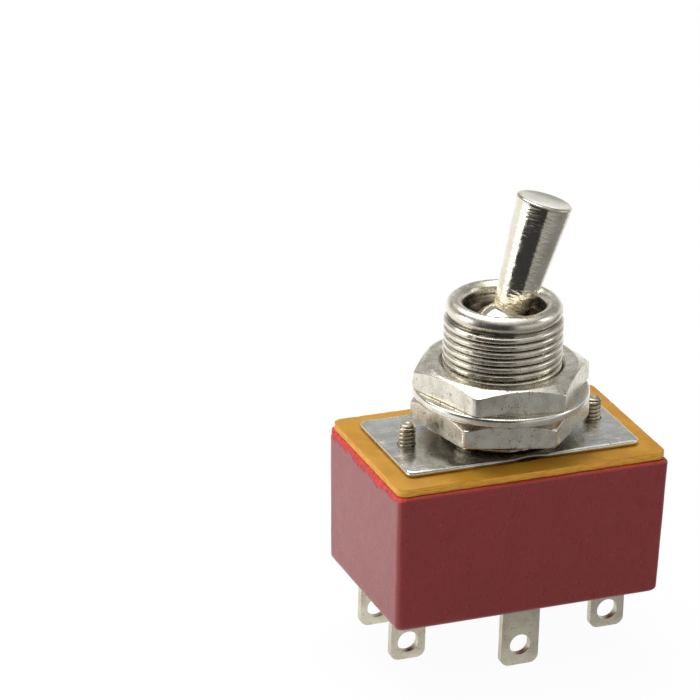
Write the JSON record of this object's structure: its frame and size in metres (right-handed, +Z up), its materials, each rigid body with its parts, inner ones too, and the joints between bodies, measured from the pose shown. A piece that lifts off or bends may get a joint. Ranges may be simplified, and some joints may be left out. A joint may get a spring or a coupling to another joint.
{
  "type": "panel toggle switch",
  "caption": "Bat-handle panel toggle switch with threaded bushing, hex nuts, washer, red moulded housing, rocking contacts and flat solder tabs with eyes",
  "frame": {"origin": "on the bushing axis, at the top face of the mounting plate", "axes": "+Z up the bushing towards the handle; X along the long side of the housing, the handle leans to +X at rest; +Y towards the back row of tabs (terminals 4 to 6)"},
  "size_m": [0.029, 0.0186, 0.0473],
  "materials": {
    "red_moulding": "semi-gloss moulded thermoset, dark red",
    "laminate": "tan phenolic paper laminate, fibrous",
    "plated_steel": "bluish grey plated sheet steel, scratched",
    "nickel_bushing": "bright nickel plate over turned thread",
    "nickel_nut": "bright nickel plate, worn and pitted",
    "nickel_washer": "bright nickel plate, rounded edges",
    "screw_steel": "yellowish passivated steel",
    "nickel_lever": "bright nickel plate with fine turning lines",
    "pin_steel": "plain steel",
    "spring_steel": "plain spring steel",
    "insulator": "ivory moulded plastic",
    "bronze": "contact bronze strip",
    "tinned_brass": "tinned brass, satin",
    "silver": "silver contact metal"
  },
  "bodies": {
    "base": {"housing": "red_moulding", "insulating_sheet": "laminate", "mounting_plate": "plated_steel", "bushing": "nickel_bushing", "lower_nut": "nickel_nut", "washer": "nickel_washer", "upper_nut": "nickel_nut", "screw_left": "screw_steel", "screw_right": "screw_steel", "terminal_1": "tinned_brass", "terminal_2": "tinned_brass", "terminal_3": "tinned_brass", "terminal_4": "tinned_brass", "terminal_5": "tinned_brass", "terminal_6": "tinned_brass", "fixed_contact_1": "silver", "fixed_contact_3": "silver", "fixed_contact_4": "silver", "fixed_contact_6": "silver"},
    "lever": {"lever": "nickel_lever", "lever_pin": "pin_steel", "lever_spring": "spring_steel"},
    "plunger": {"plunger": "insulator"},
    "rocker_front": {"rocker_front": "bronze", "moving_contact_1": "silver", "moving_contact_3": "silver"},
    "rocker_back": {"rocker_back": "bronze", "moving_contact_4": "silver", "moving_contact_6": "silver"}
  },
  "joints": [
    {"name": "lever_throw", "type": "hinge", "parent": "base", "child": "lever", "pos_m": [0, 0, 0.00975], "axis": [0, 1, 0], "range_deg": [-30, 0]},
    {"name": "plunger_stroke", "type": "slide", "parent": "lever", "child": "plunger", "axis": [0.2588, 0, 0.9659], "range_m": [0, 0.0003], "stiffness_N_per_m": 300, "springref_m": -0.002, "deforming": ["lever_spring"]},
    {"name": "rocker_front_tilt", "type": "hinge", "parent": "base", "child": "rocker_front", "pos_m": [0, -0.0055, -0.0125], "axis": [0, 1, 0], "range_deg": [0, 16]},
    {"name": "rocker_back_tilt", "type": "hinge", "parent": "base", "child": "rocker_back", "pos_m": [0, 0.0055, -0.0125], "axis": [0, 1, 0], "range_deg": [0, 16]}
  ],
  "couplings": [
    {"joint": "rocker_front_tilt", "follows": "lever_throw", "ratio": -0.53333},
    {"joint": "rocker_back_tilt", "follows": "lever_throw", "ratio": -0.53333}
  ]
}
